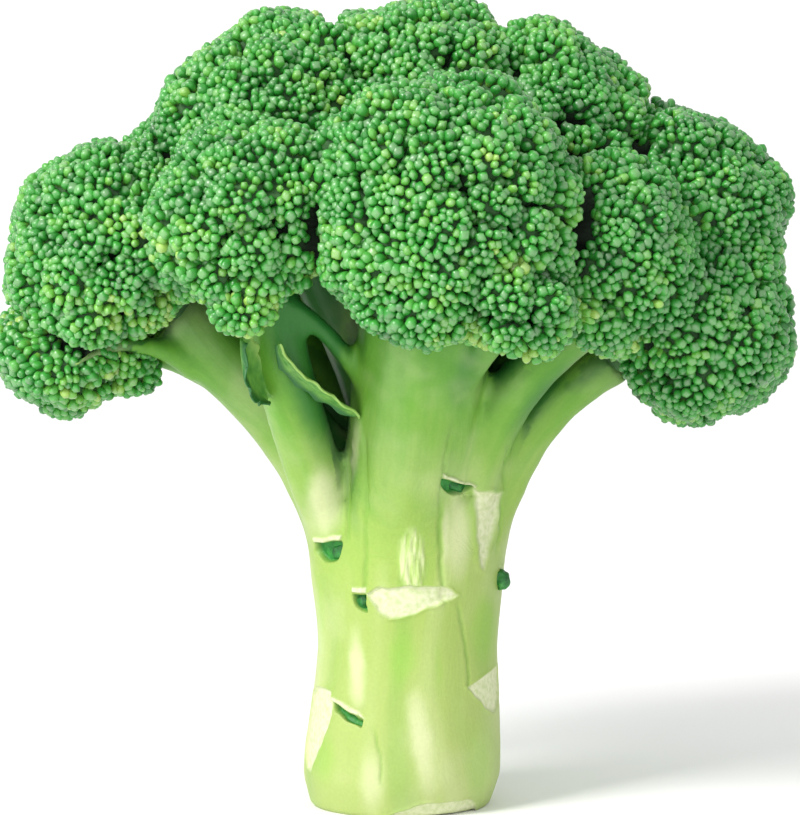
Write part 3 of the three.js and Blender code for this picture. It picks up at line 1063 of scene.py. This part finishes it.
def carve(points, normals, ribs):
    """Points moved for ribs, grooves, notches and cuts, and the masks that the skin's colours follow."""
    wander = 0.16 * MM * np.stack([soft_noise(points, 4 * MM, 71), soft_noise(points, 4.6 * MM, 72)])
    across, up = points[:, 0] + wander[0], points[:, 2] + wander[1]
    facing = smoothstep(0.1, -0.15, normals[:, 1]) * smoothstep(3 * MM, 0, points[:, 1])
    notch_reach, lip_reach = lips_and_notches(across, up)
    notch = facing * smoothstep(-0.1 * MM, 0.35 * MM, notch_reach)
    lip = facing * smoothstep(-0.1 * MM, 0.25 * MM, lip_reach) * (1 - notch)
    cut_reach = cut_faces(across, up, points[:, 1] + wander[0])
    cut = facing * smoothstep(-0.25 * MM, 0.4 * MM, cut_reach) * (1 - notch)
    rim = facing * smoothstep(-0.7 * MM, 0, cut_reach) * (1 - smoothstep(0, 0.4 * MM, cut_reach))
    cork = facing * smoothstep(-0.8 * MM, 0.9 * MM, cork_reach(across, up)) * (1 - cut)
    groove = facing * groove_depths(across, up)
    plain = 1 - np.maximum.reduce([notch, cut, cork])
    swell = (0.22 + 0.36 * smoothstep(58 * MM, 76 * MM, points[:, 2])) * MM * ribs * plain
    swell *= smoothstep(0, 6 * MM, points[:, 2])
    grain = 0.16 * MM * cork * soft_noise(points * (1, 1, 0.15), 0.9 * MM, 33)
    move = swell + grain + 0.25 * MM * cork + 0.5 * MM * lip + 0.25 * MM * rim
    move -= 1.7 * MM * notch + 0.45 * MM * cut + 0.4 * MM * groove
    masks = {
        "shade": notch,
        "pale": np.maximum(cut, lip),
        "cork": cork,
        "groove": groove,
        "rib": ribs,
        "band": facing * pale_bands(across, up),
        "deep": facing * deep_shade(across, up),
    }
    return points + normals * move[:, None], masks


def shelter_of(points, normals, trees):
    """How closed in each point is, from 0, open, to 1, deep in a fork or under a floret."""
    ways = spread_directions(SHELTER_WAYS)
    shut = np.zeros(len(points))
    for way in ways:
        facing = normals @ way
        aim = Vector(way)
        for index in np.flatnonzero(facing > 0.15):
            start = Vector(points[index] + normals[index] * 0.8 * MM)
            struck = any(tree.ray_cast(start, aim, SHELTER_REACH)[0] is not None for tree in trees)
            shut[index] += facing[index] * struck
    return shut / np.maximum(np.maximum(normals @ ways.T, 0).sum(1), 1e-6)


def small_arched_stem():
    """The slim stem that arches from the left branch's end under the left lobe, as a closed mesh."""
    low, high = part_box("branch_left")
    share = np.linspace(0, 1, 14)
    fall = 11.6 + 5 * ((share - 0.55) / 0.5) ** 2
    shift = np.stack([8.9 - 26 * share, 5.6 - 18 * share, -fall], axis=1)
    spine = np.array((low[0], low[1], high[2])) + shift * MM
    radii = (3.4 - 2.3 * share) * MM
    along = unit(np.gradient(spine, axis=0))
    sideways = unit(np.cross(along, (0, 0, 1)))
    over = np.cross(sideways, along)
    segments = 12
    turn = np.arange(segments) / segments * 2 * math.pi
    ring = np.cos(turn)[None, :, None] * sideways[:, None] + np.sin(turn)[None, :, None] * over[:, None]
    points = (spine[:, None] + ring * radii[:, None, None]).reshape(-1, 3)
    faces = []
    for row in range(len(spine) - 1):
        for k in range(segments):
            near, after = row * segments + k, row * segments + (k + 1) % segments
            faces += [(near, after + segments, after), (near, near + segments, after + segments)]
    for k in range(segments):
        after, last = (k + 1) % segments, (len(spine) - 1) * segments
        faces += [(len(points), k, after), (len(points) + 1, last + after, last + k)]
    return np.concatenate([points, spine[[0, -1]]]), np.array(faces)


def build_stem_skin():
    """One skin over the stalk and all its branches."""
    solids = [grown_solid(node, SKIN_GROWTH) for node in ("stalk", *BRANCHES)]
    rough = mesh_object("rough_stems", *joined([*solids, small_arched_stem()]))
    add_remesh(rough, SKIN_VOXEL)
    add_smooth(rough, 14)
    points, quads = evaluated_arrays(rough)
    height = points[:, 2]
    joins = smoothstep(40 * MM, 48 * MM, height) * (1 - smoothstep(60 * MM, 70 * MM, height))
    points = relaxed(points, quads, 0.9 * joins, 55)
    around = [tree_of(points, quads), *(tree_of(*cad_arrays(node)) for node in FLORETS)]
    skin = refined_skin(points, quads)
    mesh = skin.data
    count = len(mesh.vertices)
    points, normals = np.empty(count * 3), np.empty(count * 3)
    mesh.vertices.foreach_get("co", points)
    mesh.vertices.foreach_get("normal", normals)
    points, normals = points.reshape(-1, 3), normals.reshape(-1, 3)
    owner, side = stem_owner(points)
    ribs = blended(ribs_of(owner, side, points[:, 2]), mesh, SOFTENING_PASSES)
    side = np.stack([blended(side[:, k], mesh, SOFTENING_PASSES) for k in (0, 1)], axis=1)
    moved, masks = carve(points, normals, ribs)
    # How closed in each point is, kept for the painted shade in forks and under the florets.
    masks["shelter_shade"] = shelter_of(points, normals, around)
    moved[:, 2] = np.maximum(moved[:, 2], 0)
    mesh.vertices.foreach_set("co", moved.astype(np.float32).ravel())
    mesh.polygons.foreach_set("use_smooth", np.ones(len(mesh.polygons), dtype=bool))
    mesh.update()
    for name, values in masks.items():
        add_attribute(skin, name, values)
    grain = np.column_stack([side / GRAIN_WIDTH, points[:, 2] * 6])
    add_attribute(skin, "grain", grain)
    mesh.materials.append(skin_material())
    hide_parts("stalk", *BRANCHES)
    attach(skin, "root")


def skin_material():
    """Smooth waxy stem skin, pale yellow green low down and greener up the branches, darkest at the top
    partly as painted shade under the florets; painted shade also deepens its forks, grooves and rib valleys,
    and painted light pales the rib crests.
    """
    material, nodes, shader = new_material("waxy_stem_skin")
    place = nodes.add("ShaderNodeTexCoord").outputs["Object"]
    height = nodes.add("ShaderNodeSeparateXYZ", {"Vector": place}).outputs["Z"]
    streaks = nodes.noise(nodes.attribute("grain", "Vector"), 5.0, 4.0, 0.6)
    level = nodes.math("ADD", height, nodes.math("MULTIPLY", nodes.math("SUBTRACT", streaks, 0.5), 0.03))
    # Pale yellow green low down to deep green at the branch tops: the skin's own greening, with the darkest
    # green at the top partly painted shade under the florets.
    base = nodes.ramp(
        nodes.rise(level, 0.0, 0.13),
        [
            (0.0, linear(166, 184, 106)),
            (0.35, linear(154, 180, 86)),
            (0.6, linear(136, 174, 76)),
            (0.78, linear(106, 160, 54)),
            (1.0, linear(72, 134, 46)),
        ],
    )
    pale_skin = linear(206, 212, 164)
    band, rib = nodes.attribute("band"), nodes.attribute("rib")
    # Painted shade: the skin turns deep green where it is closed in, in forks and under the florets.
    base = nodes.tint(base, nodes.attribute("shelter_shade"), 0.22, 0.72, 0.92, linear(24, 86, 38))
    # Pale and green bands: the skin's own streaks, the right side's green partly painted shade.
    base = nodes.tint(base, band, 0.0, 1.0, 0.8, pale_skin)
    base = nodes.tint(base, band, 0.0, -1.0, 0.6, linear(138, 186, 66))
    # Painted light and shade on the ribs: paler on their crests, greener in the valleys between them.
    base = nodes.tint(base, rib, 0.1, 0.9, 0.28, pale_skin)
    base = nodes.tint(base, rib, 0.0, -0.8, 0.4, linear(104, 158, 54))
    # Painted shade: a deeper green on the stems' sides in the forks.
    deep = nodes.math("MULTIPLY", nodes.attribute("deep"), 0.85)
    base = nodes.mix(deep, base, (*linear(38, 108, 44), 1))
    # Painted shade: the grooves are coloured a darker green.
    groove = nodes.math("MULTIPLY", nodes.attribute("groove"), 0.5)
    base = nodes.mix(groove, base, (*linear(118, 164, 62), 1))
    mottle = put_group(
        nodes, skin_mottle_group(), Vector=place, Colour=base, Patch_Colour=(*pale_skin, 1),
        Patch_Scale=45.0, Patch_Amount=0.3, Speckle_Scale=1500.0, Speckle_Amount=0.16,
    )
    fibres = nodes.noise(place, 900.0, 3.0)
    cut = nodes.ramp(fibres, [(0.3, linear(188, 200, 146)), (0.62, linear(212, 216, 180))])
    stretched = nodes.add("ShaderNodeVectorMath", {0: place, 1: (1, 1, 0.12)}, operation="MULTIPLY")
    bark = nodes.noise(stretched.outputs[0], 1300.0, 3.0)
    cork = nodes.ramp(bark, [(0.4, linear(164, 192, 104)), (0.62, linear(206, 214, 162))])
    deep = nodes.ramp(fibres, [(0.3, linear(28, 112, 40)), (0.7, linear(56, 148, 58))])
    colour = nodes.mix(nodes.attribute("cork"), mottle["Colour"], cork)
    colour = nodes.mix(nodes.attribute("pale"), colour, cut)
    colour = nodes.mix(nodes.attribute("shade"), colour, deep)
    nodes.feed(shader.inputs["Base Color"], colour)
    gloss = nodes.math("ADD", nodes.math("MULTIPLY", streaks, 0.16), 0.36)
    rough = nodes.math("ADD", gloss, nodes.math("MULTIPLY", nodes.attribute("pale"), 0.25), True)
    nodes.feed(shader.inputs["Roughness"], rough)
    shader.inputs["Specular IOR Level"].default_value = 0.32
    relief = nodes.math("ADD", streaks, nodes.math("MULTIPLY", mottle["Height"], 0.15))
    relief = nodes.math("ADD", relief, nodes.math("MULTIPLY", bark, nodes.attribute("cork")))
    bump = nodes.add("ShaderNodeBump", {"Strength": 0.4, "Distance": 0.0005, "Height": relief})
    nodes.feed(shader.inputs["Normal"], bump.outputs["Normal"])
    return material


# ---- small leaves and side shoots

def leaf_spine(node, count):
    """Points along the middle of a leaf from foot to tip, and its width's direction and size there."""
    points, _ = cad_arrays(node)
    middle = points.mean(0)
    _, _, axes = np.linalg.svd(points - middle)
    along = axes[0] if axes[0][2] > 0 else -axes[0]
    reach = (points - middle) @ along
    steps = np.linspace(reach.min(), reach.max(), count)
    window = (steps[1] - steps[0]) * 2.5
    spine, width = [], []
    for step in steps:
        near = points[np.abs(reach - step) < window]
        spine.append(near.mean(0))
        width.append(np.ptp((near - middle) @ axes[1]))
    side = axes[1] if axes[1][0] > 0 else -axes[1]
    return np.array(spine), side, np.array(width)


def build_leaf(node, columns, curl, ragged, thickness, widen, shift, material, rng):
    """A thin blade along a leaf's spine, its edges curled and ragged, with a raised midrib."""
    rows = LEAF_ROWS
    spine, side, width = leaf_spine(node, rows)
    spine += np.array(shift) * MM
    for _ in range(3):
        spine[1:-1] = (spine[:-2] + spine[1:-1] * 2 + spine[2:]) / 4
    tangent = unit(np.gradient(spine, axis=0))
    face = unit(np.cross(tangent, side))
    face *= np.where(face[:, 1:2] > 0, -1, 1)
    across = np.linspace(-1, 1, columns)
    share = np.linspace(0, 1, rows)
    outline = 0.55 + 0.6 * np.sin(math.pi * share) ** 0.6
    half = widen * np.maximum(width * 0.5, 0.9 * MM) * outline
    points = np.empty((rows, columns, 3))
    for row in range(rows):
        for column, place in enumerate(across):
            edge = abs(place) ** 3
            tear = 1 + ragged * edge * rng.normal()
            lift = curl * place**2 + 0.25 * MM * math.exp(-((place / 0.15) ** 2))
            lift += edge * 0.5 * MM * math.sin(row * 1.1 + place * 2)
            points[row, column] = spine[row] + side * place * half[row] * tear + face[row] * lift
    index = np.arange(rows * columns).reshape(rows, columns)
    corners = (index[:-1, :-1], index[:-1, 1:], index[1:, 1:], index[1:, :-1])
    quads = np.stack([corner.ravel() for corner in corners], axis=1)
    leaf = mesh_object(f"{node}_blade", points.reshape(-1, 3), quads)
    add_attribute(leaf, "edge", np.tile(across, rows))
    add_attribute(leaf, "along", np.repeat(share, columns))
    solid = leaf.modifiers.new("thickness", "SOLIDIFY")
    solid.thickness = thickness
    solid.offset = 0
    smooth = leaf.modifiers.new("rounding", "SUBSURF")
    smooth.levels = 2
    smooth.render_levels = 2
    leaf.data.materials.append(material)
    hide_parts(node)
    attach(leaf, "root")


def leaf_material():
    """A small leaf's blade: mid green and veined, darker along one ragged edge and pale along the other."""
    material, nodes, shader = new_material("small_leaf_blade")
    veins = grained(nodes, shader, 420.0, 4.0, 0.5)
    blade = nodes.ramp(veins, [(0.3, linear(70, 136, 52)), (0.7, linear(118, 172, 74))])
    edge = nodes.attribute("edge")
    shaded = nodes.mix(nodes.rise(edge, -0.25, -0.9), blade, (*linear(34, 98, 42), 1))
    lit = nodes.mix(nodes.rise(edge, 0.55, 1.0), shaded, (*linear(150, 190, 96), 1))
    nodes.feed(shader.inputs["Base Color"], lit)
    shader.inputs["Roughness"].default_value = 0.5
    return material


def shoot_material():
    """Side shoots: dark green folded leaves, lighter on their ridges."""
    material, nodes, shader = new_material("side_shoot_green")
    folds = grained(nodes, shader, 700.0, 4.0, 0.6)
    stops = [(0.35, linear(18, 84, 34)), (0.6, linear(40, 124, 48)), (0.75, linear(70, 150, 62))]
    nodes.feed(shader.inputs["Base Color"], nodes.ramp(folds, stops))
    shader.inputs["Roughness"].default_value = 0.5
    return material


def build_shoot(node, half, lean, shift, material, rng):
    """A dormant shoot in its notch: a small lump of folded leaves."""
    low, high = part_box(node)
    middle = (np.array(low) + np.array(high)) / 2
    outward = unit(middle * (1, 1, 0))
    across = np.cross((0, 0, 1), outward)
    ball, faces = unit_ball(4)
    wave = np.sin(6 * ball[:, 0] + 4 * ball[:, 1] ** 2 + rng.uniform(0, 6))
    fold = 1 + 0.07 * wave * (1 - ball[:, 2] ** 2)
    fold += 0.08 * soft_noise(ball, 0.9, int(rng.integers(1000)))
    shape = ball * fold[:, None] * np.array(half) * MM
    cos, sin = math.cos(lean), math.sin(lean)
    side = shape[:, 0] * cos - shape[:, 1] * sin + shift[0] * MM
    rise = shape[:, 0] * sin + shape[:, 1] * cos + shift[1] * MM
    depth = shape[:, 2] + shift[2] * MM
    points = middle + side[:, None] * across + depth[:, None] * outward
    points[:, 2] += rise
    shoot = mesh_object(f"{node}_bud", points, faces)
    shoot.data.materials.append(material)
    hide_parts(node)
    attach(shoot, "root")


def build_small_parts():
    rng = np.random.default_rng(77)
    leaf, shoot = leaf_material(), shoot_material()
    # columns, curl, raggedness, thickness and widening, then the shift in millimetres
    build_leaf("leaf_left", 11, 1.9 * MM, 0.16, 0.55 * MM, 1.6, (-1.3, -0.4, 0.6), leaf, rng)
    build_leaf("leaf_front", 9, 0.8 * MM, 0.12, 0.6 * MM, 1.0, (0, 0, 0), leaf, rng)
    # half width, half height and half depth, lean, then the shift across, up and outward
    build_shoot("side_shoot_left", (2.1, 2.3, 1.4), 0.0, (-0.6, 1.6, -1.9), shoot, rng)
    build_shoot("side_shoot_front", (1.3, 2.0, 1.2), 0.0, (0.2, 0.1, -1.9), shoot, rng)
    build_shoot("side_shoot_low", (3.2, 0.8, 1.2), -0.45, (-1.4, -0.3, -2.2), shoot, rng)
    build_shoot("side_shoot_upper", (3.2, 1.7, 1.3), -0.3, (-1.6, 2.2, -1.7), shoot, rng)
    build_shoot("side_shoot_right", (2.0, 2.3, 2.0), 0.2, (0, 0, 0.5), shoot, rng)


make_camera()
make_stage()
build_florets()
build_stem_skin()
build_small_parts()
